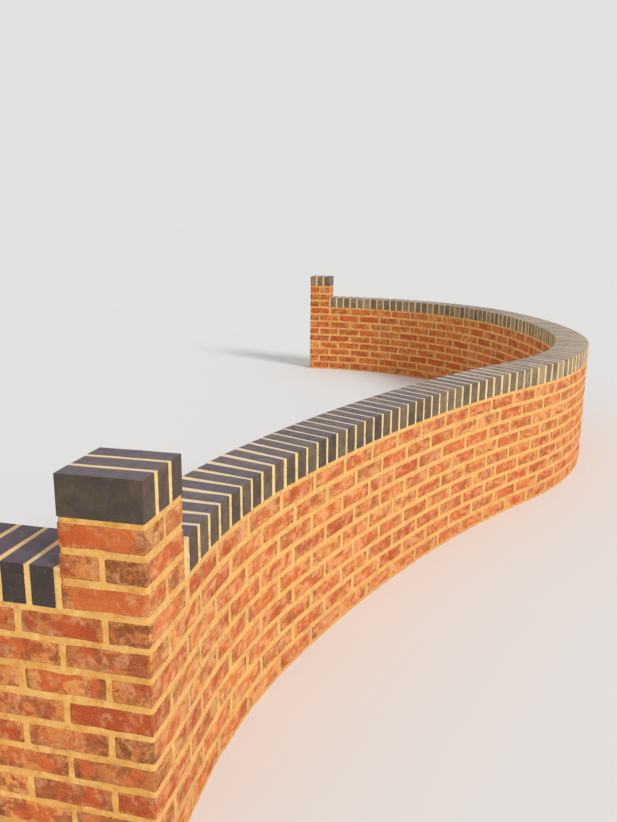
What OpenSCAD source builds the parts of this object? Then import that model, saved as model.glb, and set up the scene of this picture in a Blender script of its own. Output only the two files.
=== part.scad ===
// Brick garden wall that curves round a raised terrace, with a straight return and three piers.
// Plan: the corner pier stands on the origin, the straight return runs from it along minus X,
// and the curved wall leaves its rear face along plus Y and bends round to the far pier.

/* [Brick] */
// Length of one brick, which is also the thickness of the wall
brick_l = 215; // [200:1:230]
// Width of one brick, which is also the height of the coping, because its bricks stand on edge
brick_w = 102.5; // [95:0.5:110]
// Height of one brick
brick_h = 65; // [50:1:73]
// Thickness of a mortar joint
joint = 10; // [6:1:12]

/* [Heights] */
// Courses of brickwork under the coping of the wall
wall_courses = 9; // [6:1:12]
// Courses that a pier rises above the brickwork of the wall before its cap
pier_extra_courses = 3; // [2:1:6]

/* [Straight return] */
// Bricks along the front of one course, with both of its piers
return_bricks = 10; // [4:1:24]

/* [Curved wall] */
// Angle by which the wall leans towards the terrace where it leaves the corner pier
leave_turn = 4; // [0:0.5:6]
// Radius of the first bend, which hollows the garden face
bend_1_radius = 2500; // [1500:50:4000]
// Angle that the first bend turns through, towards the garden
bend_1_turn = 18.5; // [10:0.5:24]
// Radius of the second bend, which is nearly straight
bend_2_radius = 6800; // [5000:100:9000]
// Angle that the second bend turns through, towards the garden
bend_2_turn = 19; // [10:0.5:24]
// Radius of the third bend, where the garden face begins to bulge
bend_3_radius = 2250; // [1500:50:4000]
// Angle that the third bend turns through, towards the terrace
bend_3_turn = 41.5; // [30:0.5:50]
// Radius of the fourth bend, along the side of the bulge
bend_4_radius = 3900; // [2500:50:5000]
// Angle that the fourth bend turns through, towards the terrace
bend_4_turn = 20; // [10:0.5:30]
// Radius of the fifth bend, which brings the wall round to the far pier
bend_5_radius = 2100; // [1500:50:3000]
// Angle that the fifth bend turns through, towards the terrace
bend_5_turn = 62; // [45:0.5:70]

/* [Hidden] */
// A course is one brick and the bed joint under it
course = brick_h + joint;
wall_thickness = brick_l;
pier_side = brick_l;
half_wall = wall_thickness / 2;
half_pier = pier_side / 2;

// Heights above the underside of the lowest bed joint
wall_body_top = wall_courses * course + joint;
coping_top = wall_body_top + brick_w;
pier_body_top = (wall_courses + pier_extra_courses) * course + joint;
cap_top = pier_body_top + brick_w;

// Clear length of the straight return between its two piers
return_length = return_bricks * (brick_l + joint) - joint - 2 * pier_side;
end_pier_x = -(return_length + pier_side);

// Each bend is its radius on the centre line, its turn with left positive, and its number of bays
bends = [
    [bend_1_radius, -bend_1_turn, 2],
    [bend_2_radius, -bend_2_turn, 3],
    [bend_3_radius, bend_3_turn, 3],
    [bend_4_radius, bend_4_turn, 2],
    [bend_5_radius, bend_5_turn, 4]
];
first_bend = 0;
last_bend = len(bends) - 1;
square_heading = 90;

// The wall starts flush with the garden side of the corner pier, in the plane of its rear face
wall_start = [half_pier - half_wall * cos(leave_turn), half_pier];
// The first bay is built this far into the pier's place and then cut flush with its rear face
bonding_length = 15;

function radius(n) = bends[n][0];
function turn(n) = bends[n][1];
function side(n) = sign(turn(n));
function left_of(angle) = [-sin(angle), cos(angle)];
// Heading of the centre line where bend n starts, and where the last one ends
function heading(n) = n == 0 ? square_heading + leave_turn : heading(n - 1) + turn(n - 1);
function bend_start(n) = n == 0 ? wall_start : bend_centre(n - 1) - spoke(n - 1, heading(n));
function bend_centre(n) = bend_start(n) + spoke(n, heading(n));
// From the centre line to the centre of bend n, where the wall has this heading
function spoke(n, angle) = side(n) * radius(n) * left_of(angle);

// One bay is its bend and its place within the bend
bays = [for (n = [first_bend:last_bend]) for (k = [0:bends[n][2] - 1]) [n, k]];
last_bay = len(bays) - 1;
function bay_name(i) = str("curved_wall_bay_", i + 1);
function bay_coping_name(i) = str("curved_coping_bay_", i + 1);

wall_end = bend_start(last_bend + 1);
end_heading = heading(last_bend + 1);

brick_colour = [0.80, 0.42, 0.27];
blue_brick_colour = [0.31, 0.31, 0.36];
arc_facets = 360;

// A pier is one brick square
module pier_block(bottom, top) {
    translate([-half_pier, -half_pier, bottom])
        cube([pier_side, pier_side, top - bottom]);
}

module pier_shaft() {
    color(brick_colour)
        pier_block(0, pier_body_top);
}

// Three bricks on edge, level with the faces of the shaft
module pier_cap() {
    color(blue_brick_colour)
        pier_block(pier_body_top, cap_top);
}

// The far pier stands square with the end of the wall, in line with both of its faces
module at_far_pier() {
    translate([wall_end.x, wall_end.y, 0])
        rotate([0, 0, end_heading])
            translate([half_pier, 0, 0])
                children();
}

module at_end_pier() {
    translate([end_pier_x, 0, 0])
        children();
}

module return_block(bottom, top) {
    translate([-half_pier - return_length, -half_wall, bottom])
        cube([return_length, wall_thickness, top - bottom]);
}

module return_wall() {
    color(brick_colour)
        return_block(0, wall_body_top);
}

module return_coping() {
    color(blue_brick_colour)
        return_block(wall_body_top, coping_top);
}

// The stretch of bend n between two shares of its turn, from bottom to top
module bend_block(n, from, to, bottom, top) {
    centre = bend_centre(n);
    first_spoke = heading(n) + turn(n) * from - side(n) * square_heading;
    sweep = abs(turn(n)) * (to - from);
    start_angle = side(n) > 0 ? first_spoke : first_spoke - sweep;
    translate([centre.x, centre.y, bottom])
        rotate([0, 0, start_angle])
            rotate_extrude(angle = sweep, $fn = arc_facets)
                translate([radius(n) - half_wall, 0])
                    square([wall_thickness, top - bottom]);
}

// One bay of the curved wall; the first one is cut flush with the corner pier
module curved_block(i, bottom, top) {
    n = bays[i][0];
    share = 1 / bends[n][2];
    from = bays[i][1] * share;
    if (i == 0) {
        lead_in = bonding_length / (radius(n) * abs(turn(n)) * PI / 180);
        difference() {
            bend_block(n, from - lead_in, from + share, bottom, top);
            translate([-pier_side, -half_pier, bottom - joint])
                cube([2 * pier_side, pier_side, top - bottom + 2 * joint]);
        }
    } else {
        bend_block(n, from, from + share, bottom, top);
    }
}

module curved_wall_bay(i) {
    color(brick_colour)
        curved_block(i, 0, wall_body_top);
}

module curved_coping_bay(i) {
    color(blue_brick_colour)
        curved_block(i, wall_body_top, coping_top);
}

pier_shaft();  // corner_pier_shaft
pier_cap();  // corner_pier_cap
at_far_pier() pier_shaft();  // far_pier_shaft
at_far_pier() pier_cap();  // far_pier_cap
at_end_pier() pier_shaft();  // end_pier_shaft
at_end_pier() pier_cap();  // end_pier_cap
return_wall();
return_coping();
for (i = [0:last_bay]) {
    curved_wall_bay(i);
    curved_coping_bay(i);
}
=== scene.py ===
from math import cos, pi, radians, sin, tan

import bpy
import numpy as np
from mathutils import Matrix, Vector


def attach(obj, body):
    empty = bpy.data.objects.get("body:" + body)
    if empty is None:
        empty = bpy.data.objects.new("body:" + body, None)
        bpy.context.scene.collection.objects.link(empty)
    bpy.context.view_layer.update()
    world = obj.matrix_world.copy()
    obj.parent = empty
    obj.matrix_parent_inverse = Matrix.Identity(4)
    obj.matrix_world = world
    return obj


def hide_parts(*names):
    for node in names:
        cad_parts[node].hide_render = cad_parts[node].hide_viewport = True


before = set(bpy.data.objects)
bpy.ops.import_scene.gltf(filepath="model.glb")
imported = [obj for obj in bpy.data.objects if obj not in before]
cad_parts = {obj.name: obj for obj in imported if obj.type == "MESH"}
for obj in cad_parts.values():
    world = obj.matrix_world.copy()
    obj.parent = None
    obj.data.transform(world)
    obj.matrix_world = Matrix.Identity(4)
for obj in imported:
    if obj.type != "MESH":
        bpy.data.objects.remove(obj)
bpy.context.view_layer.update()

# Line of the wall, pegged out in metres before a brick is laid. The corner pier stands on the origin,
# the return runs from it along minus X, and the curved wall leaves its rear face and swings through
# five bends to the far pier. Turns to the left are positive, and the inner side is on the left.
brick_length = 0.215
brick_width = 0.1025
brick_height = 0.065
joint = 0.010
course = brick_height + joint
wall_courses = 9
pier_courses = 12
half_wall = brick_length / 2
half_joint = joint / 2
bends = [(2.50, -18.5), (6.80, -19.0), (2.25, 41.5), (3.90, 20.0), (2.10, 62.0)]
bays_in_bend = [2, 3, 3, 2, 4]
lean_at_start = 4.0


class Line:
    """A line on the ground of straight and curved stretches, with its open side to one hand."""

    def __init__(self, start, heading, stretches, zero=0.0, open_side=1):
        self.open_side = open_side
        self.starts = []
        self.points = []
        self.headings = []
        self.curves = []
        along = zero
        point = np.array(start, float)
        heading = radians(heading)
        for length, turn in stretches:
            curve = radians(turn) / length if length else 0.0
            self.starts.append(along)
            self.points.append(point)
            self.headings.append(heading)
            self.curves.append(curve)
            chord = length * np.sinc(curve * length / 2 / pi)
            middle = heading + curve * length / 2
            point = point + chord * np.array([cos(middle), sin(middle)])
            heading += radians(turn)
            along += length

    def at(self, along):
        """Points on the line at these distances along it, and the direction outwards there."""
        along = np.atleast_1d(np.asarray(along, float))
        n = np.searchsorted(self.starts, along, side="right") - 1
        n = np.clip(n, 0, len(self.starts) - 1)
        run = along - np.array(self.starts)[n]
        bend = np.array(self.curves)[n] * run
        middle = np.array(self.headings)[n] + bend / 2
        chord = run * np.sinc(bend / 2 / pi)
        step = np.stack([np.cos(middle), np.sin(middle)], -1)
        point = np.array(self.points)[n] + chord[:, None] * step
        heading = np.array(self.headings)[n] + bend
        out = self.open_side * np.stack([-np.sin(heading), np.cos(heading)], -1)
        return point, out


def arcs(offset):
    """The bends as stretches of a line that runs this far to the outer side of the middle."""
    radii = [radius + offset * np.sign(turn) for radius, turn in bends]
    return [(radius * radians(abs(turn)), turn) for radius, (_, turn) in zip(radii, bends)]


def marks_along(offset):
    """Distances along the same line where one bend ends and the next starts."""
    return np.concatenate([[0], np.cumsum([length for length, _ in arcs(offset)])])


wall_heading = 90 + lean_at_start
wall_start = (half_wall - half_wall * cos(radians(lean_at_start)), half_wall)
middle_line = Line(wall_start, wall_heading, arcs(0.0))
# The outer face carries on from the side of the corner pier, and on along the back of the far pier
pier_run = half_wall * (2 + sin(radians(lean_at_start)))
corner_in_line = (0.0, lean_at_start)
outer_line = Line(
    (half_wall, -half_wall),
    90,
    [(pier_run, 0.0), corner_in_line] + arcs(half_wall) + [(brick_length, 0.0)],
    zero=-pier_run,
    open_side=-1,
)
inner_start = np.array(wall_start) + half_wall * np.array(
    [-sin(radians(wall_heading)), cos(radians(wall_heading))]
)
inner_line = Line(inner_start, wall_heading, arcs(-half_wall) + [(brick_length, 0.0)])
middle_marks = marks_along(0.0)
outer_marks = marks_along(half_wall)
inner_marks = marks_along(-half_wall)
# Distances along the middle where one bay of the wall ends and the next starts
bay_marks = np.concatenate(
    [
        np.linspace(middle_marks[n], middle_marks[n + 1], count + 1)[:-1]
        for n, count in enumerate(bays_in_bend)
    ]
    + [middle_marks[-1:]]
)
bay_count = len(bay_marks) - 1
far_pier_centre = middle_line.at(middle_marks[-1])[0][0] + [-half_wall, 0.0]

# Red bricks, pressed in rough moulds and fired unevenly: no two have quite the same face, length
# or colour. They are laid on a bed of mortar with their arrises, the edges, already knocked round.
red_arris = 0.0075
red_arris_lines = (0.0, 0.0030, 0.0075)
red_cells = 16
red_height_cells = 4
red_depth_cells = 7
red_wear = 0.00035
red_wear_spacing = 0.030
waver_spacing = 0.040
pier_smear = 0.0022
# Each brick has its own place in one pattern of unevenness, within this many metres of its middle
pattern_reach = 9.0
# Least and most by which a brick is off when it is laid: its ends, how far its front stands back,
# its height, how high it sits, and how it leans and tips
start_off = (-0.0015, 0.0015)
end_off = (-0.002, 0.0015)
inset_off = (0.0002, 0.0007)
height_off = (-0.0015, 0.0008)
rise_off = (-0.0005, 0.0008)
lean_off = (-0.004, 0.004)
tip_off = (-0.0035, 0.0035)
chance = np.random.default_rng(1912)


def uneven(place, spacing):
    """A smooth random value from about -1 to 1, which rises and falls over this spacing."""
    waves = np.random.default_rng(17)
    count = 9
    direction = waves.normal(size=(3, count))
    direction /= np.linalg.norm(direction, axis=0)
    number = 2 * pi / (spacing * waves.uniform(1.2, 2.6, count))
    phase = waves.uniform(0, 2 * pi, count)
    return np.sin(place @ (direction * number) + phase).sum(-1) / 4


block_faces = {}


def block(counts, plain):
    """Lattice places of a box, and its faces: their corner numbers, corner counts and sides.

    counts is the number of lines each way. A side named in plain, such as -z, is a single face."""
    if (counts, plain) not in block_faces:
        grid = np.arange(np.prod(counts)).reshape(counts)
        faces = []
        sides = []
        for axis in range(3):
            layers = grid.transpose(axis, (axis + 1) % 3, (axis + 2) % 3)
            for sign, layer in (("-", layers[0]), ("+", layers[-1])):
                side = sign + "xyz"[axis]
                if side in plain:
                    rim = [layer[:-1, 0], layer[-1, :-1], layer[:0:-1, -1], layer[0, :0:-1]]
                    found = [np.concatenate(rim)]
                else:
                    squares = [layer[:-1, :-1], layer[1:, :-1], layer[1:, 1:], layer[:-1, 1:]]
                    found = list(np.stack(squares, -1).reshape(-1, 4))
                faces += found if sign == "+" else [face[::-1] for face in found]
                sides += [side] * len(found)
        used, corners = np.unique(np.concatenate(faces), return_inverse=True)
        places = np.stack(np.unravel_index(used, counts), -1)
        sizes = np.array([len(face) for face in faces])
        block_faces[counts, plain] = places, (corners, sizes, np.array(sides))
    return block_faces[counts, plain]


class Brickwork:
    """Bricks and mortar joined into one piece."""

    # How large a side is drawn on the flat pattern of the piece when it shows, when it lies hidden
    # in the wall, and when it is mortar, and how far apart the sides lie there
    shown_scale = 1.0
    hidden_scale = 0.15
    mortar_scale = 0.5
    pattern_gap = 0.004
    # Faces that meet at more than this angle meet in a sharp edge
    sharp_from = radians(50)

    def __init__(self):
        self.points = []
        self.corners = []
        self.sizes = []
        self.kinds = []
        self.places = []
        self.draws = []
        self.edges = []
        self.count = 0
        self.flat_sizes = []
        self.flat_numbers = []
        self.flat_places = []

    def add(self, points, faces, kind, place, draw, edges, shown, mirrored=False):
        """kind is 0 for brick and 1 for mortar. place is where the points lay before the shape was
        worn or bent. shown names the sides that may show, and mirrored says that the faces are
        inside out."""
        corners, sizes, sides = [part[::-1] for part in faces] if mirrored else faces
        self.points.append(points)
        self.corners.append(corners + self.count)
        self.sizes.append(sizes)
        self.kinds.append(np.full(len(sizes), kind))
        self.places.append(place)
        self.draws.append(np.tile(draw, (len(points), 1)))
        self.edges.append(edges)
        self.count += len(points)
        numbers = np.zeros(len(corners), int)
        flat = np.zeros((len(corners), 2))
        for side in np.unique(sides):
            there = np.repeat(sides == side, sizes)
            scale = self.shown_scale if side in shown else self.hidden_scale
            scale *= self.mortar_scale if kind else 1.0
            level = place[corners[there]][:, ["xyz"[axis] not in side for axis in range(3)]] * scale
            flat[there] = level - level.min(0)
            numbers[there] = len(self.flat_sizes)
            self.flat_sizes.append(np.ptp(level, axis=0))
        self.flat_numbers.append(numbers)
        self.flat_places.append(flat)

    def flat_pattern(self):
        """Lays all sides flat in a unit square, row upon row with the tallest first."""
        sizes = np.array(self.flat_sizes)
        gap = self.pattern_gap
        scale = 1 / np.sqrt(sizes.prod(1).sum())
        height = 2.0
        while height > 1:
            scale *= 0.98
            starts = np.zeros(sizes.shape)
            across, up, row = gap, gap, 0.0
            for n in np.argsort(-sizes[:, 1]):
                wide, tall = sizes[n] * scale
                if across + wide + gap > 1:
                    across, up, row = gap, up + row + gap, 0.0
                starts[n] = across, up
                across += wide + gap
                row = max(row, tall)
            height = up + row + gap
        return starts[np.concatenate(self.flat_numbers)] + np.concatenate(self.flat_places) * scale

    def build(self, name, materials):
        sizes = np.concatenate(self.sizes).astype(np.int32)
        corners = np.concatenate(self.corners).astype(np.int32)
        mesh = bpy.data.meshes.new(name)
        mesh.vertices.add(self.count)
        mesh.vertices.foreach_set("co", np.concatenate(self.points).astype(np.float32).ravel())
        mesh.loops.add(len(corners))
        mesh.loops.foreach_set("vertex_index", corners)
        mesh.polygons.add(len(sizes))
        starts = np.concatenate([[0], np.cumsum(sizes)[:-1]]).astype(np.int32)
        mesh.polygons.foreach_set("loop_start", starts)
        mesh.polygons.foreach_set("material_index", np.concatenate(self.kinds).astype(np.int32))
        mesh.polygons.foreach_set("use_smooth", np.ones(len(sizes), bool))
        fields = {"brick_place": self.places, "brick_draw": self.draws, "brick_edges": self.edges}
        for label, values in fields.items():
            field = mesh.attributes.new(label, "FLOAT_VECTOR", "POINT")
            field.data.foreach_set("vector", np.concatenate(values).astype(np.float32).ravel())
        pattern = mesh.uv_layers.new(name="OFBake")
        pattern.uv.foreach_set("vector", self.flat_pattern().astype(np.float32).ravel())
        mesh.update(calc_edges=True)
        mesh.set_sharp_from_angle(angle=self.sharp_from)
        for material in materials:
            mesh.materials.append(material)
        piece = bpy.data.objects.new(name, mesh)
        bpy.context.scene.collection.objects.link(piece)
        return piece


def lines_across(length, close, cells):
    """Lines across one side of a brick, close together along both arrises and even between them."""
    close = np.array(close)
    between = np.linspace(close[-1], length - close[-1], cells + 1)
    return np.concatenate([close[:-1], between, length - close[-2::-1]])


def shaped_brick(lines, plain, arris, wear, spacing, waver=0.25):
    """A brick cut along these lines, with eased arrises and an uneven skin, from its own corner.

    waver is how unevenly its arrises are eased."""
    lattice, faces = block(tuple(len(values) for values in lines), plain)
    points = np.stack([lines[axis][lattice[:, axis]] for axis in range(3)], -1)
    size = np.array([values[-1] for values in lines])
    edge = np.sort(np.minimum(points, size - points), axis=1)[:, 1]
    place = points + chance.uniform(-pattern_reach, pattern_reach, 3)
    arris = np.broadcast_to(arris, 3)
    ease = arris * (1 + waver * uneven(place, waver_spacing))[:, None]
    core = np.clip(points, ease, size - ease)
    away = (points - core) / ease
    away /= np.linalg.norm(away, axis=1)[:, None]
    points = core + away * ease
    skin = wear * (uneven(place, spacing) - 1)
    points = points + away * skin[:, None]
    return points, faces, place, edge


class Face:
    """One side of the brickwork: its line on the ground, the front of each brick laid along it, and
    how far its mortar was smeared over the edges of the bricks."""

    # A brick is held against the line at so many places
    held_at = 9

    def __init__(self, line, smear):
        self.line = line
        self.smear = smear
        self.fronts = {}

    def set_brick(self, number, start, end, inset):
        """Sets a straight brick of a course against the line, with no part of it standing proud."""
        points, _ = self.line.at(np.linspace(start, end, self.held_at))
        step = points[-1] - points[0]
        along = step / np.linalg.norm(step)
        out = self.line.open_side * np.array([-along[1], along[0]])
        proud = ((points - points[0]) @ out).min()
        corner = points[0] + out * (proud - inset)
        self.fronts.setdefault(number, []).append((start, end, points[0] + out * proud, out))
        return corner, along, out, np.linalg.norm(step)

    def set_back(self, number, along):
        """How far the fronts of the bricks of a course stand behind the line at these places."""
        back = np.zeros(len(along))
        points, out = self.line.at(along)
        for start, end, corner, front in self.fronts.get(number, []):
            near = (along > start - half_joint) & (along <= end + half_joint)
            depth = (points[near] - corner) @ front
            back[near] = depth / (out[near] @ front)
        return back


def lay_stretcher(work, face, number, start, end):
    """Lays one brick of a course with its long side to the face, from start to end along it."""
    start += chance.uniform(*start_off)
    end += chance.uniform(*end_off)
    inset = chance.uniform(*inset_off)
    corner, along, out, length = face.set_brick(number, start, end, inset)
    height = brick_height + chance.uniform(*height_off)
    cells = max(4, round(red_cells * length / brick_length))
    depth_lines = np.array([0.0, brick_width - red_arris, brick_width])
    lines = [
        lines_across(length, red_arris_lines, cells),
        depth_lines,
        lines_across(height, red_arris_lines, red_height_cells),
    ]
    points, faces, place, edge = shaped_brick(lines, "-y", red_arris, red_wear, red_wear_spacing)
    lean = chance.uniform(*lean_off)
    rise = number * course + joint + chance.uniform(*rise_off)
    tip = chance.uniform(*tip_off)
    level = points[:, 2] + tip * (points[:, 0] - length / 2)
    back = brick_width - points[:, 1] + abs(lean) * height / 2 + lean * (points[:, 2] - height / 2)
    plan = corner + points[:, :1] * along - back[:, None] * out
    placed = np.column_stack([plan, level + rise])
    edges = np.column_stack([edge - face.smear, points[:, 0], length - points[:, 0]])
    work.add(placed, faces, 0, place, chance.random(3), edges, "+y", face.line.open_side < 0)


# Upright arrises show on the corners of a pier, so its bricks are picked with sharper ones
pier_arris = (0.0045, 0.0045, 0.0105)
# A point this near to the plus X side of a brick lies on that side
on_side = 0.002


def lay_pier_brick(work, low, high, number, side_smear):
    """Lays one brick of a course in a pier, where all of its sides may show, between two corners.

    side_smear is how far mortar was smeared over the edges on its plus X side."""
    inset = chance.uniform(*inset_off)
    size = np.array(high) - low - 2 * inset
    height = brick_height + chance.uniform(*height_off)
    lines = []
    for length in size:
        cells = red_cells if length > brick_width else red_depth_cells
        lines.append(lines_across(length, red_arris_lines, cells))
    lines.append(lines_across(height, red_arris_lines, red_height_cells))
    points, faces, place, _ = shaped_brick(lines, "-z+z", pier_arris, red_wear, red_wear_spacing)
    edge = np.minimum(points[:, 2], height - points[:, 2])
    smear = np.where(points[:, 0] > size[0] - on_side, side_smear, pier_smear)
    run = points[:, 0] if size[0] > size[1] else points[:, 1]
    edges = np.column_stack([edge - smear, run, max(size) - run])
    tip = chance.uniform(*tip_off, 2)
    rise = number * course + joint + chance.uniform(*rise_off)
    level = points[:, 2] + (points[:, :2] - size / 2) @ tip
    placed = np.column_stack([np.array(low) + inset + points[:, :2], level + rise])
    work.add(placed, faces, 0, place, chance.random(3), edges, "-x+x-y+y")


class Finish:
    """The nodes of one material, added by their use."""

    def __init__(self, name):
        self.material = bpy.data.materials.new(name)
        self.material.use_nodes = True
        self.tree = self.material.node_tree
        self.tree.nodes.clear()
        self.colour = None

    def add(self, kind, inputs, output=0, **options):
        """Adds a node, gives each input a value or another node's output, and returns an output."""
        node = self.tree.nodes.new("ShaderNode" + kind)
        for name, value in options.items():
            setattr(node, name, value)
        for name, value in inputs.items():
            if isinstance(value, bpy.types.NodeSocket):
                self.tree.links.new(value, node.inputs[name])
            else:
                node.inputs[name].default_value = value
        return node.outputs[output]

    def field(self, name, output="Fac"):
        return self.add("Attribute", {}, output, attribute_name=name)

    def noise(self, place, size, detail=2.0, rough=0.5, twist=0.0):
        """Cloudy noise whose patches are about this many metres across."""
        values = {"Vector": place, "Scale": 1 / size, "Detail": detail, "Roughness": rough}
        return self.add("TexNoise", {**values, "Distortion": twist}, 0)

    def shift(self, place, amount):
        return self.add("VectorMath", {0: place, 1: amount}, 0, operation="ADD")

    def stretch(self, place, amount):
        return self.add("VectorMath", {0: place, 1: amount}, 0, operation="MULTIPLY")

    def between(self, value, low, high, start=0.0, end=1.0):
        """Eases from start to end as the value goes from low to high."""
        limits = {1: low, 2: high, 3: start, 4: end}
        return self.add("MapRange", {0: value, **limits}, 0, interpolation_type="SMOOTHSTEP")

    def maths(self, operation, first, second=0.0):
        return self.add("Math", {0: first, 1: second}, 0, operation=operation)

    def times(self, *values):
        product = values[0]
        for value in values[1:]:
            product = self.maths("MULTIPLY", product, value)
        return product

    def plus(self, *values):
        total = values[0]
        for value in values[1:]:
            total = self.maths("ADD", total, value)
        return total

    def mix(self, share, first, second, blend="MIX"):
        """Mixes two colours, each the output of a node or three numbers as a screen shows it."""
        first, second = [shade(*one) if isinstance(one, tuple) else one for one in (first, second)]
        options = {"data_type": "RGBA", "blend_type": blend}
        return self.add("Mix", {0: share, 6: first, 7: second}, 2, **options)

    def coat(self, share, colour, blend="MIX"):
        """Lays one more colour over the material, as thickly as share says."""
        self.colour = self.mix(share, self.colour, colour, blend)

    def ramp(self, value, stops):
        """A colour from a row of (place, colour) stops."""
        output = self.add("ValToRGB", {0: value})
        row = output.node.color_ramp
        while len(row.elements) < len(stops):
            row.elements.new(0.5)
        for element, (place, colour) in zip(row.elements, stops):
            element.position = place
            element.color = shade(*colour)
        return output

    def parts(self, vector):
        """The three numbers of a vector."""
        first = self.add("SeparateXYZ", {0: vector})
        return first.node.outputs[0], first.node.outputs[1], first.node.outputs[2]

    def close(self, roughness, height, specular):
        """Ends the material under its last coat: height is in millimetres."""
        normal = self.add("Bump", {"Height": height, "Distance": 0.001, "Strength": 1.0})
        values = {"Base Color": self.colour, "Roughness": roughness, "Normal": normal}
        shader = self.add("BsdfPrincipled", {**values, "Specular IOR Level": specular})
        end = self.tree.nodes.new("ShaderNodeOutputMaterial")
        self.tree.links.new(shader, end.inputs["Surface"])
        return self.material


def shade(red, green, blue):
    """A colour written as it looks on a screen, each part from 0 to 255."""
    values = np.array([red, green, blue]) / 255
    linear = np.where(values <= 0.04045, values / 12.92, ((values + 0.055) / 1.055) ** 2.4)
    return (*[float(value) for value in linear], 1.0)


# The clay fires a deep red at heart. Its skin is paler and browner, and shows most near the ends,
# where some bricks are burnt purple brown too. Scum, grit and a film of mortar lie over it.
red = Finish("red_brick")
red_place = red.field("brick_place", "Vector")
first_draw, second_draw, third_draw = red.parts(red.field("brick_draw", "Vector"))
from_arris, from_left, from_right = red.parts(red.field("brick_edges", "Vector"))
from_end = red.maths("MINIMUM", from_left, from_right)


def red_patch(size, offset, low, high, most=1.0, detail=3.0, twist=0.4):
    """Share of a patchy layer on the red bricks, from 0 between the patches to most within them."""
    cloud = red.noise(red.shift(red_place, offset), size, detail, 0.55, twist)
    return red.between(cloud, low, high, 0.0, most)


heart = red.ramp(
    red.plus(first_draw, red_patch(0.120, (0.0, 0.0, 0.0), 0.3, 0.7, 0.5, 2.0), -0.25),
    [
        (0.00, (191, 81, 39)),
        (0.35, (207, 94, 43)),
        (0.70, (216, 107, 50)),
        (1.00, (224, 122, 61)),
    ],
)
skin = red.ramp(
    red.plus(second_draw, red_patch(0.100, (4.0, 0.0, 2.0), 0.3, 0.7, 0.5, 2.0), -0.25),
    [
        (0.00, (197, 117, 63)),
        (0.35, (217, 131, 69)),
        (0.70, (231, 146, 78)),
        (1.00, (242, 162, 90)),
    ],
)
inwards = red.plus(
    red.between(from_end, 0.0, 0.060, -0.09, 0.04),
    red.between(from_arris, 0.0, 0.020, -0.06, 0.02),
    red.between(third_draw, 0.0, 1.0, -0.07, 0.13),
)
depth_noise = red.noise(red.shift(red_place, (3.1, 0.0, 0.0)), 0.070, 6.0, 0.60, 0.6)
depth = red.plus(depth_noise, inwards)
# One end of some bricks lay against the fire
fire_noise = red.noise(red.shift(red_place, (1.0, 7.0, 2.0)), 0.032, 6.0, 0.66, 0.8)
burns = []
for from_side, draw, low, high in (
    (from_left, first_draw, 0.58, 0.66),
    (from_right, second_draw, 0.60, 0.68),
):
    burnt_there = red.between(red.plus(from_side, red.times(fire_noise, 0.16)), 0.108, 0.086)
    burns.append(red.times(burnt_there, red.between(draw, low, high)))
fired_end = red.maths("MAXIMUM", *burns)
heart_share = red.times(red.between(depth, 0.44, 0.55), red.between(fired_end, 0.0, 1.0, 1.0, 0.25))
red.colour = red.mix(red.times(fired_end, 0.6), skin, (196, 121, 75))
red.coat(heart_share, heart)
mauve_share = red.times(
    red_patch(0.050, (0.0, 0.0, 4.7), 0.49, 0.60, 0.75, 6.0),
    red.between(third_draw, 0.9, 0.2, 0.25, 1.0),
)
red.coat(mauve_share, (166, 86, 52))
# The skin broke away from the heart in small dark chips
rim = red.between(red.maths("ABSOLUTE", red.plus(depth, -0.49)), 0.0, 0.035, 1.0, 0.0)
chip_share = red.times(rim, red_patch(0.0060, (5.0, 2.0, 1.0), 0.46, 0.60, 0.70))
red.coat(chip_share, (136, 66, 35))
burn_share = red.times(fired_end, red_patch(0.030, (2.0, 3.0, 0.0), 0.40, 0.58, 0.80, 6.0))
burnt = red.mix(red_patch(0.009, (8.0, 1.0, 4.0), 0.40, 0.62), (114, 58, 29), (154, 86, 47))
red.coat(burn_share, burnt)
pit_share = red.times(
    red_patch(0.045, (6.0, 1.0, 0.0), 0.50, 0.64),
    red_patch(0.0045, (0.0, 0.0, 1.3), 0.57, 0.68, 0.75),
    red.between(second_draw, 0.0, 1.0, 0.4, 1.0),
)
red.coat(pit_share, (114, 57, 30))
drag = red.stretch(red_place, (1.1, 1.1, 0.80))
scum_share = red.times(
    red_patch(0.060, (7.7, 2.0, 0.0), 0.46, 0.62),
    red.between(red.noise(drag, 0.020, 4.0, 0.60, 0.2), 0.40, 0.64, 0.0, 0.62),
)
red.coat(scum_share, (236, 170, 118))
soot_noise = red.noise(red.shift(drag, (0.0, 2.6, 0.0)), 0.011, 5.0, 0.72, 0.5)
soot_share = red.between(soot_noise, 0.53, 0.70, 0.0, 0.55)
red.coat(soot_share, (148, 78, 43))
grit = red.noise(red_place, 0.0024, 2.0, 0.7)
red.coat(red.between(grit, 0.54, 0.72, 0.0, 0.55), (176, 168, 160), "MULTIPLY")
red.coat(red.between(grit, 0.44, 0.30, 0.0, 0.32), (240, 188, 138))
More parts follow.
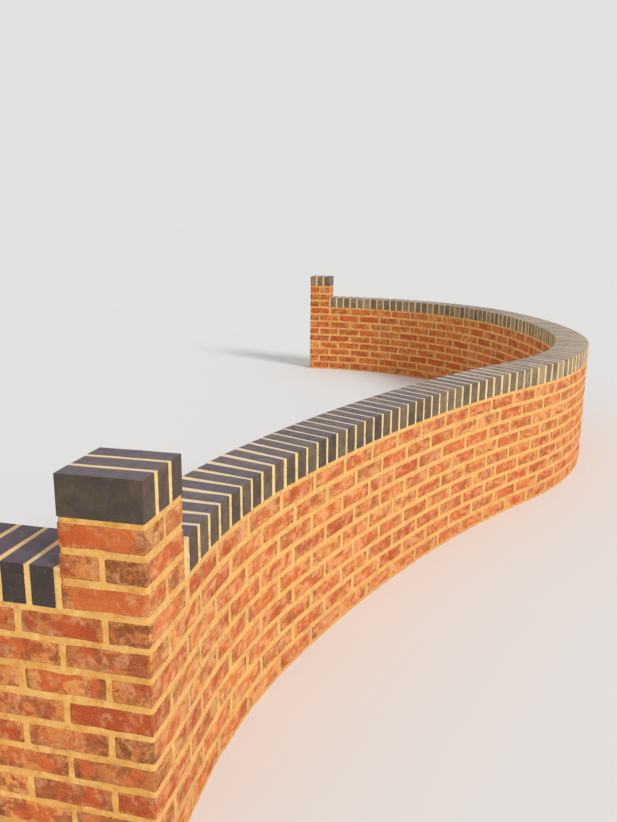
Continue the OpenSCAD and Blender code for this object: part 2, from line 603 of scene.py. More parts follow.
# A thin wash of mortar was left on the outer side, most of it near the corner pier
facing = red.parts(red.add("NewGeometry", {}, "Normal"))
along_y = red.parts(red.add("TexCoord", {}, "Object"))[1]
outer_side = red.between(red.plus(facing[0], facing[1]), 0.0, 0.25)
wash_place = red.stretch(red.shift(red_place, (1.0, 1.0, 6.0)), (0.6, 0.6, 1.1))
wash_noise = red.noise(wash_place, 0.036, 6.0, 0.55, 0.3)
wash_patches = red.times(
    red.between(along_y, 0.3, 2.4, 0.51, 0.35),
    red.between(wash_noise, 0.46, 0.64),
)
wash_share = red.times(outer_side, red.plus(wash_patches, 0.04))
red.coat(wash_share, (247, 186, 124))
shade_share = red.times(outer_side, red.between(wash_noise, 0.46, 0.32, 0.0, 0.46))
red.coat(shade_share, (152, 82, 50))
dirty_end = red.times(
    red.between(from_end, 0.045, 0.0),
    red_patch(0.014, (3.0, 8.0, 7.0), 0.50, 0.64, 0.5, 5.0),
)
# Dark dots along the arrises, partly dirt and partly painted shade where the joint meets the brick
arris_dirt_and_shade = red.times(
    red.between(from_arris, 0.0055, 0.0005),
    red_patch(0.0065, (3.0, 3.0, 7.0), 0.47, 0.61, 0.65, 5.0),
)
red.coat(red.maths("MAXIMUM", dirty_end, arris_dirt_and_shade), (126, 71, 34))
film_noise = red.between(red.noise(red_place, 0.010, 6.0, 0.76), 0.25, 0.75, -0.0032, 0.0032)
film_share = red.between(red.plus(from_arris, film_noise), 0.0007, -0.0007, 0.0, 0.9)
red.coat(film_share, (230, 173, 98))
lumps = red.times(red.noise(red_place, 0.012, 3.0, 0.6), 0.9)
grain = red.times(red.noise(red_place, 0.0016, 2.0, 0.6), 0.28)
fold = red.noise(red.stretch(red_place, (0.55, 1.0, 1.6)), 0.030, 3.0, 0.6, 1.4)
fold = red.maths("ABSOLUTE", red.plus(fold, -0.5))
crease = red.between(fold, 0.0, 0.028, -0.32, 0.0)
pits = red.times(red.maths("MAXIMUM", pit_share, chip_share), -0.7)
red_roughness = red.between(red.noise(red_place, 0.020, 2.0), 0.3, 0.7, 0.82, 0.95)
red_brick = red.close(red_roughness, red.plus(lumps, grain, crease, pits), 0.25)

# Mortar of yellow sand and cement, filled out level with the bricks and rubbed smooth by the
# jointing iron. It covers the rounded arrises, so the joints look wider than the 10 mm they are.
mortar_recess = 0.0021
mortar_cell = 0.010
corner_recess = 0.0025
mortar_draw = (0.5, 0.5, 0.5)
mortar_wave = 0.0003
mortar_wave_spacing = 0.040
mortar_ripple = 0.00015
mortar_ripple_spacing = 0.015
# Lines are drawn across the mortar this far outside both edges of a bed joint
beside_bed = 0.003


def mortar_finish(name, stops, outer_sunlit_tint, grain_dark, grain_pale, top_sky_reflection, yellow):
    """Sand and cement, with its colours from dark to pale, the tint painted on its outer side for the
    sunlight there, the colour painted on its tops as a reflection of the sky, and how yellow it still
    is where it lies beside bricks that are not pale."""
    sand = Finish(name)
    ground_place = sand.add("TexCoord", {}, "Object")
    sand.colour = sand.ramp(sand.noise(ground_place, 0.120, 3.0, 0.6), stops)
    paleness = sand.parts(sand.field("brick_draw", "Vector"))[2]
    sand.coat(sand.between(paleness, 0.1, 0.6, yellow, 0.0), (247, 196, 112))
    normal = sand.parts(sand.add("NewGeometry", {}, "Normal"))
    outer_side = sand.between(sand.plus(normal[0], normal[1]), 0.0, 0.25)
    # The outer side takes a painted tint for the sunlight that falls on it
    sand.coat(sand.times(outer_side, 0.5), outer_sunlit_tint)
    stain = sand.noise(sand.shift(ground_place, (2.0, 1.0, 3.0)), 0.026, 5.0, 0.66)
    sand.coat(sand.between(stain, 0.50, 0.66, 0.0, 0.70), (208, 142, 70))
    pale_share = sand.times(
        sand.between(stain, 0.48, 0.34, 0.0, 0.75),
        sand.between(outer_side, 0.0, 1.0, 1.0, 0.3),
    )
    sand.coat(pale_share, (252, 204, 124))
    grains = sand.noise(ground_place, 0.0013, 2.0, 0.7)
    sand.coat(sand.between(grains, 0.58, 0.74, 0.0, 0.45), grain_dark)
    sand.coat(sand.between(grains, 0.44, 0.30, 0.0, 0.4), grain_pale)
    # Tops take a painted reflection of the sky, its colour following how pale the bricks beside are
    painted_top_reflection = sand.mix(sand.between(paleness, 0.05, 0.60), (246, 208, 150), top_sky_reflection)
    sand.coat(sand.between(normal[2], 0.5, 0.95, 0.0, 0.8), painted_top_reflection)
    height = sand.parts(ground_place)[2]
    damp_noise = sand.between(sand.noise(ground_place, 0.070, 3.0), 0.3, 0.7, -0.05, 0.05)
    damp_edge = sand.plus(height, damp_noise)
    sand.coat(sand.between(damp_edge, 0.14, 0.0, 0.0, 0.35), (178, 124, 76))
    drag = sand.noise(sand.stretch(ground_place, (0.6, 0.6, 2.0)), 0.014, 3.0, 0.6)
    holes = sand.between(sand.noise(ground_place, 0.0045, 1.0, 0.5), 0.70, 0.78, 0.0, -0.8)
    rise = sand.plus(sand.times(grains, 0.35), sand.times(drag, 1.0), holes)
    roughness = sand.between(grains, 0.3, 0.7, 0.86, 0.97)
    return sand.close(roughness, rise, 0.2)


sand_mortar = mortar_finish(
    "sand_mortar",
    [(0.30, (228, 164, 80)), (0.50, (238, 178, 94)), (0.70, (241, 188, 108))],
    (229, 182, 117),
    (188, 124, 66),
    (241, 204, 146),
    (238, 208, 158),
    0.0,
)


def bed_lines(courses):
    """Heights of the lines across the mortar, with the courses that each lies between."""
    lines = []
    for number in range(courses + 1):
        bed = number * course
        if number > 0:
            lines.append((bed - beside_bed, number - 1, number - 1))
        else:
            lines.append((0.0, 0, 0))
        lines.append((bed + half_joint, max(number - 1, 0), min(number, courses - 1)))
        if number < courses:
            lines.append((bed + joint + beside_bed, number, number))
            lines.append((bed + joint + brick_height / 2, number, number))
    lines.append((courses * course + joint, courses - 1, courses - 1))
    return lines


def mortar_skin(points):
    """How far the mortar stands behind the fronts of the bricks."""
    waves = mortar_wave * uneven(points, mortar_wave_spacing)
    ripples = mortar_ripple * uneven(points, mortar_ripple_spacing)
    return mortar_recess + waves + ripples


def mortar_depth(face, along, lines, points):
    """How far the mortar stands behind the line of a face, at these places and heights."""
    back = np.zeros((len(along), len(lines)))
    for n, (_, below, above) in enumerate(lines):
        back[:, n] = (face.set_back(below, along) + face.set_back(above, along)) / 2
    return back + mortar_skin(points)


def mortar_in_wall(work, fronts, ends, courses):
    """Fills a stretch of wall between its two faces. ends are where each starts and stops."""
    lines = bed_lines(courses)
    heights = np.array(lines)[:, 0]
    cells = max(2, round(abs(ends[0][1] - ends[0][0]) / mortar_cell))
    sides = []
    for face, (start, end) in zip(fronts, ends):
        along = start + (end - start) * np.linspace(0, 1, cells + 1)
        points, out = face.line.at(along)
        solid = np.zeros((len(along), len(lines), 3))
        solid[..., :2] = points[:, None]
        solid[..., 2] = heights
        depth = mortar_depth(face, along, lines, solid)
        solid[..., :2] -= out[:, None] * depth[..., None]
        sides.append(solid)
    lattice, faces = block((cells + 1, 2, len(lines)), "")
    points = np.stack(sides, 1)[lattice[:, 0], lattice[:, 1], lattice[:, 2]]
    place = np.column_stack([lattice[:, :2] * [mortar_cell, brick_length], heights[lattice[:, 2]]])
    first, second = sides[0][0, 0], sides[1][0, 0]
    ahead = sides[0][1, 0] - first
    mirrored = np.cross(ahead[:2], second[:2] - first[:2]) < 0
    work.add(points, faces, 1, place, mortar_draw, np.zeros(points.shape), "-y+y", mirrored)


def mortar_in_pier(work, low, sides):
    """Fills a pier from its lowest corner. sides are for -x, +x, -y and +y: None, or a face with
    the direction in which it runs and the place on the axis where its line is at zero."""
    lines = bed_lines(pier_courses)
    heights = np.array(lines)[:, 0]
    cells = round(brick_length / mortar_cell)
    steps = np.linspace(0, brick_length, cells + 1)
    lattice, faces = block((cells + 1, cells + 1, len(lines)), "-z+z")
    place = np.column_stack([np.array(low) + steps[lattice[:, :2]], heights[lattice[:, 2]]])
    points = place.copy()
    for n, side in enumerate(sides):
        axis, far = divmod(n, 2)
        row = low[1 - axis] + steps
        solid = np.zeros((len(row), len(lines), 3))
        solid[..., axis] = low[axis] + far * brick_length
        solid[..., 1 - axis] = row[:, None]
        solid[..., 2] = heights
        depth = mortar_skin(solid)
        if side:
            face, way, zero = side
            depth = mortar_depth(face, way * (row - zero), lines, solid)
        here = lattice[:, axis] == far * cells
        rows = lattice[here][:, 1 - axis]
        # The mortar stops short of the corners of the pier, where the bricks themselves show
        at_corner = (rows == 0) | (rows == cells)
        recess = depth[rows, lattice[here][:, 2]] + at_corner * corner_recess
        points[here, axis] += -recess if far else recess
    work.add(points, faces, 1, place, mortar_draw, np.zeros(points.shape), "-x+x-y+y")


# Curved wall, nine courses of stretchers on the outer side and nine on the inner side. Round each
# bend the bricks stay straight, so they stand as short flats and the joints take up the turn.
outer_pitch = 0.2285
inner_pitch = 0.2345
# In even and in odd courses: where the first joint of the outer side lies, how far before its end
# the last joint of the inner side lies, and where the bricks of the inner side start
outer_first_joint = [-0.0025, 0.0975]
inner_last_joint = [half_joint, 0.105]
inner_first_brick = [0.0125, -0.08]
# In odd courses a brick of the outer side runs on beside the corner pier, to here
corner_brick_start = -half_wall - 0.0075
# The mortar of this wall runs so far into the corner pier, and so far into a pier at every other
# end of a wall
into_corner_pier = 2 * joint
into_pier = 1.2 * joint
# For about a metre after the first bend the joints creep along by up to an inch
creep = 0.024
creep_middle = 1.2
creep_spread = 0.42
# The joints of the two top courses lie this much further along than those of the courses below
top_lag = [0, 0, 0, 0, 0, 0, 0, 0.012, 0.018]
outer_end = outer_marks[-1]
inner_end = inner_marks[-1]
outer_smear = 0.0056
inner_smear = 0.0028
outer_face = Face(outer_line, outer_smear)
inner_face = Face(inner_line, inner_smear)
bay_work = [Brickwork() for n in range(bay_count)]


# The last stretch of a course is closed with two cut bricks when it is longer than this many
# bricks, and takes one more whole brick when it is longer than this many
longest_closer = 1.08
room_for_more = 1.5


def joints_from(first, pitch, last):
    """Middles of the upright joints of one course."""
    places = [first]
    while last - places[-1] > room_for_more * pitch:
        places.append(places[-1] + pitch)
    if last - places[-1] > longest_closer * pitch:
        places.append((places[-1] + last) / 2)
    return np.array(places + [last])


def lay_course(face, marks, number, joints):
    """Lays one course between its joints, each brick in the bay where its middle lies."""
    for start, end in zip(joints[:-1], joints[1:]):
        where = np.interp((start + end) / 2, marks, middle_marks)
        bay = int(np.clip(np.searchsorted(bay_marks, where) - 1, 0, bay_count - 1))
        lay_stretcher(bay_work[bay], face, number, start + half_joint, end - half_joint)


for number in range(wall_courses):
    odd = number % 2
    reach = half_wall if odd else -half_joint
    first = outer_first_joint[odd] + top_lag[number]
    joints = joints_from(first, outer_pitch, outer_end + reach)
    creeping = joints[1:-1]
    creeping += creep * np.exp(-(((creeping - creep_middle) / creep_spread) ** 2))
    if odd:
        joints = np.concatenate([[corner_brick_start], joints])
    lay_course(outer_face, outer_marks, number, joints)
    inner_run = inner_end - inner_first_brick[odd]
    back = joints_from(inner_last_joint[odd], inner_pitch, inner_run)
    joints = (inner_end - back)[::-1]
    if odd:
        joints = np.append(joints, inner_end + half_wall)
    lay_course(inner_face, inner_marks, number, joints)

for n in range(bay_count):
    outer_ends = np.interp(bay_marks[n : n + 2], middle_marks, outer_marks)
    inner_ends = np.interp(bay_marks[n : n + 2], middle_marks, inner_marks)
    ends = [outer_ends, inner_ends]
    for pair in ends:
        if n == 0:
            pair[0] -= into_corner_pier
        if n == bay_count - 1:
            pair[1] += into_pier
    mortar_in_wall(bay_work[n], [outer_face, inner_face], ends, wall_courses)
    bay = bay_work[n].build(f"curved_brickwork_{n + 1}", [red_brick, sand_mortar])
    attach(bay, "root")
    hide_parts(f"curved_wall_bay_{n + 1}")

# Straight return, the same nine courses between the corner pier and the end pier. Its stretchers
# run on into the piers in every second course, which ties all three together.
return_pitch = brick_length + joint
return_stretchers = 9
return_line_length = 2.24
front_line = Line((half_wall, -half_wall), 180, [(return_line_length, 0.0)], open_side=1)
rear_line = Line((half_wall, half_wall), 180, [(return_line_length, 0.0)], open_side=-1)
front_smear = 0.0008
front_face = Face(front_line, front_smear)
rear_face = Face(rear_line, inner_smear)
return_work = Brickwork()
for number in range(wall_courses):
    odd = number % 2
    first = brick_length + half_joint if odd else brick_width + half_joint
    count = return_stretchers - odd
    for face in (front_face, rear_face):
        for n in range(count):
            start = first + n * return_pitch + half_joint
            lay_stretcher(return_work, face, number, start, start + brick_length)
return_ends = (brick_length - into_pier, return_line_length - brick_length + into_pier)
mortar_in_wall(return_work, [front_face, rear_face], [return_ends, return_ends], wall_courses)
return_piece = return_work.build("return_brickwork", [red_brick, sand_mortar])
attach(return_piece, "root")
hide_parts("return_wall")

# Corner pier, one brick square and twelve courses high. Where the two walls join it, it shows one
# brick to a course; above them each course is a pair of bricks, turned round from the one below.
half_pier = brick_length / 2


def lay_pair(work, centre, number, along_x, side_smear):
    """Lays the two bricks of one course of a pier."""
    low = centre - half_pier
    size = np.array([brick_length, brick_width])
    step = np.array([0, brick_width + joint])
    if not along_x:
        size = size[::-1]
        step = step[::-1]
    lay_pier_brick(work, low, low + size, number, side_smear)
    lay_pier_brick(work, low + step, low + brick_length, number, side_smear)


corner_centre = np.array([0.0, 0.0])
corner_low = corner_centre - half_pier
corner_high = corner_centre + half_pier
corner_work = Brickwork()
for number in range(pier_courses):
    odd = number % 2
    if number >= wall_courses:
        lay_pair(corner_work, corner_centre, number, odd, outer_smear)
    elif odd:
        front_high = [half_pier, -half_joint]
        lay_pier_brick(corner_work, corner_low, front_high, number, outer_smear)
    else:
        side_low = [half_joint, -half_pier]
        lay_pier_brick(corner_work, side_low, corner_high, number, outer_smear)
outer_zero = half_pier + half_wall * sin(radians(lean_at_start))
mortar_in_pier(corner_work, corner_low, [None, (outer_face, 1, outer_zero), None, None])
corner_pier = corner_work.build("corner_pier_brickwork", [red_brick, sand_mortar])
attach(corner_pier, "root")
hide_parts("corner_pier_shaft")

# End pier, where the return stops, built in the same way as the corner pier. Its end stands free, so
# that pairs of bricks show there in the courses whose bricks run along the wall.
end_centre = np.array([-return_line_length + brick_length, 0.0])


def lay_free_pier(work, centre, along_wall_first):
    """Lays a pier whose minus X end is free. Its pairs of bricks lie along the wall in even courses
    when along_wall_first is set, and else in odd ones. Between them, up to the top of the wall, one
    brick stands across the end."""
    low = centre - half_pier
    for number in range(pier_courses):
        along_wall = (number % 2 == 0) == along_wall_first
        if along_wall or number >= wall_courses:
            lay_pair(work, centre, number, along_wall, pier_smear)
        else:
            lay_pier_brick(work, low, low + [brick_width, brick_length], number, pier_smear)


end_work = Brickwork()
lay_free_pier(end_work, end_centre, False)
mortar_in_pier(end_work, end_centre - half_pier, [None, None, None, None])
end_pier = end_work.build("end_pier_brickwork", [red_brick, sand_mortar])
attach(end_pier, "root")
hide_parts("end_pier_shaft")

# Far pier, where the curved wall has come round to run along minus X. The last stretchers of every
# second course run on into it, and it shows one brick across its free end in those.
far_work = Brickwork()
lay_free_pier(far_work, far_pier_centre, True)
wall_end_x = far_pier_centre[0] + half_pier
far_sides = [
    None,
    None,
    (inner_face, -1, wall_end_x + inner_end),
    (outer_face, -1, wall_end_x + outer_end),
]
mortar_in_pier(far_work, far_pier_centre - half_pier, far_sides)
far_pier = far_work.build("far_pier_brickwork", [red_brick, sand_mortar])
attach(far_pier, "root")
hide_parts("far_pier_shaft")

# Blue bricks, dense clay fired until it is slate blue and nearly smooth. They stand on edge across
# the top of the wall. Those of the return are the darkest, and those of the long wall turn paler
# from the corner to the bulge. Their joints are a paler, drier mortar.
blue_arris = (0.003, 0.003, 0.003)
blue_wear = 0.00025
blue_wear_spacing = 0.050
blue_width_lines = (0.0, 0.0012, 0.003)
blue_length_lines = (0.0, 0.0012, 0.003, 0.009)
blue_width_cells = 4
blue_length_cells = 10
blue_height_cells = 5
blue_waver = 0.08
# A blue brick is this much shorter than the wall is thick, or up to one of these more. Its top lies
# below the true level by a little, and it tips by a little
blue_inset = 0.0006
coping_short = 0.002
cap_short = 0.0015
blue_drop = (0.0002, 0.0005)
blue_tip = (-0.0012, 0.0012)
# The mortar reaches this far into the place of the bricks beside it, laps this far over a corner
# and has its foot this far in, and stands back this far at both ends and on top
sunk = 0.0036
lap = 0.0005
foot_in = 4 * lap
end_recess = 0.0005
top_recess = 0.0013
edge_wave = 0.0002
edge_wave_spacing = 0.020
wall_top = wall_courses * course + joint
coping_top = wall_top + brick_width
pier_top = pier_courses * course + joint
cap_top = pier_top + brick_width
blue = Finish("blue_brick")
blue_place = blue.field("brick_place", "Vector")
first_draw, second_draw, paleness = blue.parts(blue.field("brick_draw", "Vector"))
from_joint = blue.parts(blue.field("brick_edges", "Vector"))[0]
cloud = blue.between(blue.noise(blue_place, 0.060, 2.0), 0.3, 0.7, -0.10, 0.10)
blue_tone = blue.plus(paleness, cloud, blue.times(first_draw, 0.26), -0.13)
blue.colour = blue.ramp(
    blue_tone,
    [
        (0.00, (56, 43, 36)),
        (0.30, (70, 57, 47)),
        (0.42, (84, 68, 50)),
        (0.60, (107, 88, 64)),
        (0.80, (134, 112, 84)),
        (1.00, (170, 144, 109)),
    ],
)
streak_place = blue.stretch(blue.shift(blue_place, (2.2, 0.0, 1.0)), (1.5, 1.5, 0.4))
streaks = blue.noise(streak_place, 0.012, 4.0, 0.65, 0.6)
streaked = blue.between(paleness, 0.30, 0.42, 0.15, 1.0)
pale_streaks = blue.times(blue.between(streaks, 0.52, 0.74, 0.0, 0.40), streaked)
blue.coat(pale_streaks, (144, 127, 106))
blue.coat(blue.between(streaks, 0.46, 0.28, 0.0, 0.40), (46, 39, 34))
mottle = blue.noise(blue_place, 0.0042, 3.0, 0.65)
blue.coat(blue.between(mottle, 0.58, 0.76, 0.0, 0.30), (128, 116, 104))
specks = blue.noise(blue.shift(blue_place, (0.0, 3.0, 0.0)), 0.0036, 2.5, 0.55)
darkest = blue.between(paleness, 0.20, 0.40, 0.045, 0.0)
speck_share = blue.between(blue.plus(specks, darkest), 0.755, 0.79, 0.0, 0.85)
blue.coat(speck_share, (226, 214, 198))
pitted_noise = blue.noise(blue.shift(blue_place, (9.0, 0.0, 0.0)), 0.035, 3.0, 0.6)
pitted = blue.between(pitted_noise, 0.42, 0.62)
blue_pits = blue.times(pitted, blue.between(specks, 0.45, 0.32))
blue.coat(blue.times(blue_pits, 0.7), (40, 34, 32))
# The tops are painted paler and bluer, a painted reflection of the sky, with purple grey patches from
# the firing
upwards = blue.parts(blue.add("NewGeometry", {}, "Normal"))[2]
topside = blue.between(upwards, 0.5, 0.95)
painted_top_reflection = blue.ramp(
    blue_tone,
    [
        (0.00, (96, 77, 92)),
        (0.45, (113, 99, 106)),
        (0.70, (136, 118, 108)),
        (1.00, (178, 158, 139)),
    ],
)
fired_noise = blue.noise(blue.shift(blue_place, (5.0, 0.0, 0.0)), 0.050, 3.0, 0.6)
fired_share = blue.between(fired_noise, 0.40, 0.64, 0.0, 0.45)
painted_top_reflection = blue.mix(fired_share, painted_top_reflection, (99, 90, 103))
blue.coat(blue.times(topside, 0.8), painted_top_reflection)
smear_noise = blue.noise(blue.stretch(blue_place, (1.6, 1.0, 0.35)), 0.016, 3.0, 0.6, 0.5)
smeared = blue.times(blue.between(second_draw, 0.4, 1.0, 0.0, 0.6), streaked)
smear_share = blue.times(blue.between(smear_noise, 0.55, 0.75), smeared)
blue.coat(smear_share, (176, 146, 110))
film_noise = blue.between(blue.noise(blue_place, 0.008, 5.0, 0.7), 0.25, 0.75, -0.0012, 0.0012)
film_edge = blue.plus(from_joint, film_noise, blue.times(topside, 0.010))
film_share = blue.between(film_edge, 0.0025, 0.0013, 0.0, 0.85)
blue.coat(film_share, (233, 197, 138))
blue_height = blue.plus(
    blue.times(blue.noise(blue_place, 0.010, 3.0, 0.6), 0.45),
    blue.times(mottle, 0.30),
    blue.times(blue.noise(blue_place, 0.0014, 2.0, 0.6), 0.12),
    blue.times(blue_pits, -0.35),
)
blue_roughness = blue.plus(
    blue.between(blue.noise(blue_place, 0.025, 3.0), 0.3, 0.7, 0.42, 0.60),
    blue.times(smear_share, 0.3),
    blue.times(film_share, 0.3),
)
blue_brick = blue.close(blue_roughness, blue_height, 0.5)
pale_mortar = mortar_finish(
    "pale_mortar",
    [(0.30, (226, 195, 131)), (0.50, (232, 206, 145)), (0.70, (236, 212, 157))],
    (238, 210, 150),
    (196, 146, 92),
    (242, 220, 180),
    (244, 225, 197),
    0.9,
)


def lay_on_edge(
    work, centre, across, length, width, bottom, top, paleness, slew=0.0, has_joint=(True, True)
):
    """Stands a blue brick on edge, with its length lying across the wall.

    paleness is 0 for the darkest brick and 1 for the palest. It returns the plan of the sides of the
    brick that face back and ahead: for both ends, the corner and a point inside it."""
    plain = "-x+x-z" if all(has_joint) else "-z"
    lines = [
        lines_across(width, blue_width_lines, blue_width_cells),
        lines_across(length, blue_length_lines, blue_length_cells),
        lines_across(top - bottom, blue_length_lines, blue_height_cells),
    ]
    points, faces, place, _ = shaped_brick(
        lines, plain, blue_arris, blue_wear, blue_wear_spacing, blue_waver
    )
    from_sides = np.full(len(points), width)
    if has_joint[0]:
        from_sides = np.minimum(from_sides, points[:, 0])
    if has_joint[1]:
        from_sides = np.minimum(from_sides, width - points[:, 0])
    ahead = np.array([across[1], -across[0]])
    sideways = points[:, 0] - width / 2
    lengthways = points[:, 1] - length / 2 + sideways * slew
    tip = chance.uniform(*blue_tip, 2)
    drop = np.abs(tip) @ [width / 2, length / 2]
    tipped = sideways * tip[0] + lengthways * tip[1] - drop
    level = bottom + points[:, 2] + tipped * points[:, 2] / (top - bottom)
    plan = centre + sideways[:, None] * ahead + lengthways[:, None] * across
    edges = np.column_stack([from_sides, points[:, 1], length - points[:, 1]])
    draw = [chance.random(), chance.random(), paleness]
    shown = "-y+y+z" + ("" if has_joint[0] else "-x") + ("" if has_joint[1] else "+x")
    work.add(np.column_stack([plan, level]), faces, 0, place, draw, edges, shown)
    found = []
    for side in (-1, 1):
        found.append([])
        for end in (-1, 1):
            corner = centre + side * width / 2 * (ahead + slew * across) + end * length / 2 * across
            inside = corner - side * sunk * (ahead + slew * across)
            found[-1].append((corner, inside))
    return found


def pier_side(corners, inwards):
    """Plan of the side of a pier that a joint lies against, in the same form."""
    return [(np.array(corner), corner + sunk * np.array(inwards)) for corner in corners]


def joint_outline(near, far, out):
    """Plan of one end of a joint, from inside one brick to inside the next. The mortar is level
    with the brick that stands further out, laps over the other a little, and steps down to it."""
    corner, inside = near
    next_corner, next_inside = far
    if (corner - next_corner) @ out < 0:
        return joint_outline(far, near, out)[::-1]
    ahead = (corner - inside) / sunk
    lip = corner + ahead * ((next_corner - corner) @ ahead + lap)
    foot = next_corner + (next_inside - next_corner) / sunk * foot_in
    return np.array([inside, corner, (corner + lip) / 2, lip, foot, next_inside])


def joint_on_edge(work, near, far, bottom, top, paleness):
    """Fills the joint between two blue bricks, from the side of one that faces ahead to the side of
    the next that faces back."""
    cells = (5, 16, 8)
    run = near[1][0] - near[0][0]
    run /= np.linalg.norm(run)
    first = joint_outline(near[0], far[0], -run)
    second = joint_outline(near[1], far[1], run)
    lattice, faces = block(tuple(count + 1 for count in cells), "-x+x-z")
    share = lattice / np.array(cells)
    place = share * [2 * joint, brick_length, top - bottom]
    plan = first[lattice[:, 0]] + share[:, 1:2] * (second - first)[lattice[:, 0]]
    level = bottom + share[:, 2] * (top - bottom - top_recess)
    points = np.column_stack([plan, level])
    wave = edge_wave * uneven(points, edge_wave_spacing) - edge_wave
    outwards = np.where(lattice[:, 1] == 0, -1, np.where(lattice[:, 1] == cells[1], 1, 0))
    points[:, :2] += run * (outwards * (wave - end_recess))[:, None]
    points[:, 2] += np.where(lattice[:, 2] == cells[2], wave, 0)
    mirrored = np.cross(first[-1] - first[0], second[0] - first[0]) < 0
    draw = (*mortar_draw[:2], paleness)
    work.add(points, faces, 1, place, draw, np.zeros(points.shape), "-y+y+z", mirrored)


# Coping of the curved wall, 106 bricks set out along its outer edge. They were laid a little off
# square, with the inner end ahead, and so their ends stand in fine steps round the bends.
coping_width = brick_height
# Some of the joints by their number, and how far along the middle they lie, as the spacing wanders
coping_marks = {
    -1: 0.018,
    0: 0.108,
    4: 0.440,
    6: 0.595,
    9: 0.848,
    21: 1.760,
    28: 2.285,
    35: 2.846,
    49: 3.893,
    68: 5.375,
    75: 5.969,
    79: 6.280,
    87: 6.870,
    105: 8.322,
}
coping_bricks = 106
# How pale the coping is at places along the middle
paleness_places = [0.0, 1.2, 1.7, 2.6, 3.3, 4.0, 5.5, 6.2, 8.3]
paleness_there = [0.42, 0.44, 0.52, 0.74, 0.90, 0.98, 0.88, 0.78, 0.80]
coping_work = [Brickwork() for n in range(bay_count)]


def slew_at(along):
    """How far off square the coping bricks were laid, in degrees."""
    return float(np.interp(along, [0.2, 0.68, 2.8, 3.3, 5.4], [0.0, 8.2, 8.2, 4.5, 0.0]))


# The first and the last joint lie this far from a pier. The first brick is wider by this much, and
# the joint in front of it is not very pale
against_pier = 0.002
first_extra = 0.010
first_joint_paleness = 0.25
# The bricks are narrower or wider by up to these
coping_off = (-0.0015, 0.001)
rear = half_pier + against_pier
previous = pier_side([(half_wall - end_recess, rear), (-half_wall, rear)], (0, -1))
for n in range(coping_bricks):
    outer_place = np.interp(n - 0.5, list(coping_marks), list(coping_marks.values()))
    angle = radians(slew_at(outer_place))
    along = outer_place + half_wall * tan(angle)
    centre, out = middle_line.at(along)
    centre, out = centre[0], out[0]
    ahead = np.array([out[1], -out[0]])
    across = out * cos(angle) + ahead * sin(angle)
    width = coping_width + chance.uniform(*coping_off) + (first_extra if n == 0 else 0)
    slew = 0.5 * tan(angle)
    stand = 2 * (half_wall - width / 4 * sin(angle)) / cos(angle)
    length = stand - blue_inset - chance.uniform(0, coping_short)
    bay = int(np.clip(np.searchsorted(bay_marks, along) - 1, 0, bay_count - 1))
    top = coping_top - chance.uniform(*blue_drop)
    paleness = np.interp(along, paleness_places, paleness_there)
    work = coping_work[bay]
    back, front = lay_on_edge(work, centre, across, length, width, wall_top, top, paleness, slew)
    joint_paleness = first_joint_paleness if n == 0 else paleness
    joint_on_edge(work, previous, back, wall_top, coping_top, joint_paleness)
    previous = front
point, out = middle_line.at(middle_marks[-1])
ahead = np.array([out[0][1], -out[0][0]])
corners = [point[0] + side * half_wall * out[0] - against_pier * ahead for side in (-1, 1)]
joint_on_edge(work, previous, pier_side(corners, ahead), wall_top, coping_top, paleness)
for n in range(bay_count):
    coping = coping_work[n].build(f"curved_coping_{n + 1}", [blue_brick, pale_mortar])
    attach(coping, "root")
    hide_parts(f"curved_coping_bay_{n + 1}")

# Coping of the return, 23 bricks laid square across the wall between the two piers, with a joint
# against each of them.
return_coping_bricks = 23
return_coping_pitch = 0.0783
return_coping_gap = 0.0112
return_coping_start = -half_pier
return_coping_length = return_line_length - 2 * brick_length
# The bricks are narrower or wider by up to this, and turned by up to so many degrees
return_coping_off = (-0.001, 0.001)
return_coping_turn = (-0.8, 0.8)
return_coping_work = Brickwork()
return_paleness = 0.05
x = return_coping_start - against_pier
previous = pier_side([(x, half_wall), (x, -half_wall)], (1, 0))
for n in range(return_coping_bricks):
    x = return_coping_start - return_coping_gap - coping_width / 2 - n * return_coping_pitch
    width = coping_width + chance.uniform(*return_coping_off)
    length = brick_length - blue_inset - chance.uniform(0, coping_short)
    top = coping_top - chance.uniform(*blue_drop)
    turn = radians(chance.uniform(*return_coping_turn))
    across = np.array([sin(turn), -cos(turn)])
    length -= width * abs(sin(turn))
    work = return_coping_work
    centre = np.array([x, 0.0])
    back, front = lay_on_edge(work, centre, across, length, width, wall_top, top, return_paleness)
    joint_on_edge(work, previous, back, wall_top, coping_top, return_paleness)
    previous = front
x = return_coping_start - return_coping_length + against_pier
end_edge = pier_side([(x, half_wall), (x, -half_wall)], (-1, 0))
joint_on_edge(return_coping_work, previous, end_edge, wall_top, coping_top, return_paleness)
return_coping = return_coping_work.build("return_coping_bricks", [blue_brick, pale_mortar])
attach(return_coping, "root")
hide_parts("return_coping")

# Caps of the piers, three blue bricks on edge, side by side and flush with the shaft. On the far
# pier they lie across the wall, and on the other two along the return.
cap_brick_width = 0.0635
cap_brick_inset = 0.0006
cap_pitch = (brick_length - cap_brick_width) / 2


def cap_of(centre, across, paleness):
    """The three bricks and two joints of one cap."""
    work = Brickwork()
    across = np.array(across, float)
    ahead = np.array([across[1], -across[0]])
    previous = None
    for n in (-1, 0, 1):
        width = cap_brick_width - cap_brick_inset
        length = brick_length - blue_inset - chance.uniform(0, cap_short)
        top = cap_top - chance.uniform(*blue_drop)
        middle = centre + ahead * n * cap_pitch
        has_joint = (n > -1, n < 1)
        back, front = lay_on_edge(
            work, middle, across, length, width, pier_top, top, paleness, 0.0, has_joint
        )
        if previous is not None:
            joint_on_edge(work, previous, back, pier_top, cap_top, paleness)
        previous = front
    return work


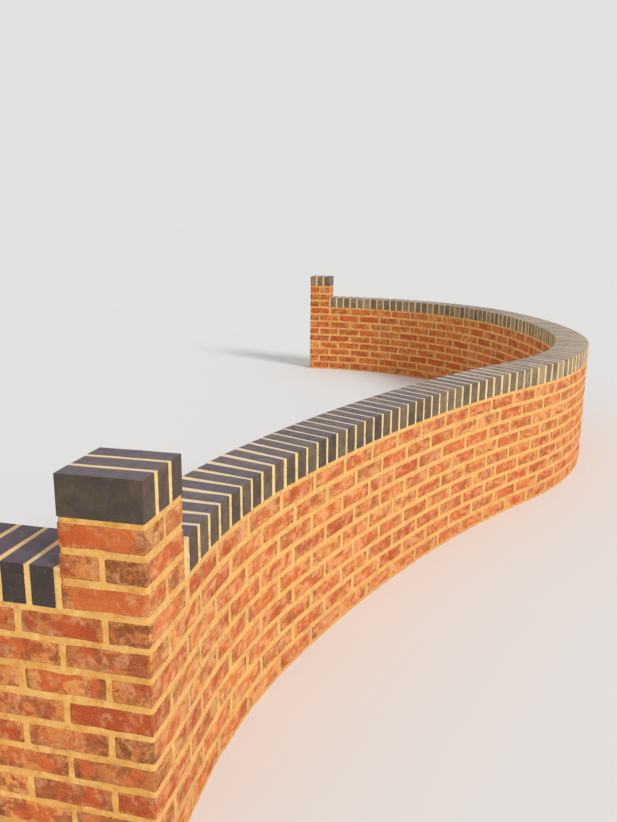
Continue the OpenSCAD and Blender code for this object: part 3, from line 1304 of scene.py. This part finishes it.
# Each pier with its centre, the way its cap bricks lie and how pale they are
piers = {
    "corner_pier": (corner_centre, (1, 0), 0.30),
    "end_pier": (end_centre, (1, 0), 0.20),
    "far_pier": (far_pier_centre, (0, 1), 0.75),
}
for pier, (centre, across, paleness) in piers.items():
    cap = cap_of(centre, across, paleness).build(f"{pier}_cap_bricks", [blue_brick, pale_mortar])
    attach(cap, "root")
    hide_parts(f"{pier}_cap")

# Studio floor, a wide pale sheet under the wall, level with the underside of its lowest joint. It
# takes the shadow of the wall, and runs out so far that its edge lies on the horizon.
floor_half = 400.0
floor_mesh = bpy.data.meshes.new("floor")
floor_mesh.from_pydata(
    [(x * floor_half, y * floor_half, 0.0) for x, y in ((-1, -1), (1, -1), (1, 1), (-1, 1))],
    [],
    [(0, 1, 2, 3)],
)
floor = bpy.data.objects.new("floor", floor_mesh)
bpy.context.scene.collection.objects.link(floor)
plain = Finish("pale_floor")
floor_cloud = plain.noise(plain.add("TexCoord", {}, "Object"), 1.5)
plain.colour = plain.mix(floor_cloud, (232, 232, 231), (235, 235, 234))
floor_mesh.materials.append(plain.close(0.9, 0.0, 0.1))

# Studio light: an even pale surround, and one large soft lamp high on the right behind the camera.
# The surround is a little brighter where it is seen, so that in the picture it matches the floor.
surround_strength = 0.60
seen_strength = 0.76
lamp_strength = 1.98
lamp_spread = 18
lamp_from = Vector((0.83, -0.50, 0.60))
world = bpy.data.worlds.new("studio")
bpy.context.scene.world = world
world.use_nodes = True
sky = world.node_tree.nodes["Background"]
path = world.node_tree.nodes.new("ShaderNodeLightPath")
brightness = world.node_tree.nodes.new("ShaderNodeMix")
brightness.data_type = "FLOAT"
brightness.inputs[2].default_value = surround_strength
brightness.inputs[3].default_value = seen_strength
world.node_tree.links.new(path.outputs["Is Camera Ray"], brightness.inputs[0])
world.node_tree.links.new(brightness.outputs[0], sky.inputs["Strength"])
sky.inputs["Color"].default_value = (1.0, 1.0, 1.0, 1.0)
lamp_data = bpy.data.lights.new("soft_lamp", "SUN")
lamp_data.energy = lamp_strength
lamp_data.angle = radians(lamp_spread)
lamp = bpy.data.objects.new("soft_lamp", lamp_data)
lamp.rotation_euler = lamp_from.to_track_quat("Z", "Y").to_euler()
bpy.context.scene.collection.objects.link(lamp)

# Camera at the angle of the photograph: on the outer side, a stride in front of the corner pier
# and half a metre above its cap, looking down the length of the curved wall.
eye = Vector((0.8084, -1.5558, 1.5395))
eye_left = 13.24
eye_down = 13.337
eye_roll = 0.464
focal_pixels = 776.8
picture_height = 822
sensor = 36.0
farthest_seen = 2000
camera_data = bpy.data.cameras.new("camera")
camera_data.sensor_width = sensor
camera_data.lens = focal_pixels * sensor / picture_height
camera_data.clip_end = farthest_seen
camera = bpy.data.objects.new("camera", camera_data)
look = Matrix.Rotation(radians(eye_left), 4, "Z") @ Matrix.Rotation(radians(90 - eye_down), 4, "X")
camera.matrix_world = Matrix.Translation(eye) @ look @ Matrix.Rotation(radians(eye_roll), 4, "Z")
bpy.context.scene.collection.objects.link(camera)
bpy.context.scene.camera = camera
bpy.context.scene.view_settings.view_transform = "Standard"
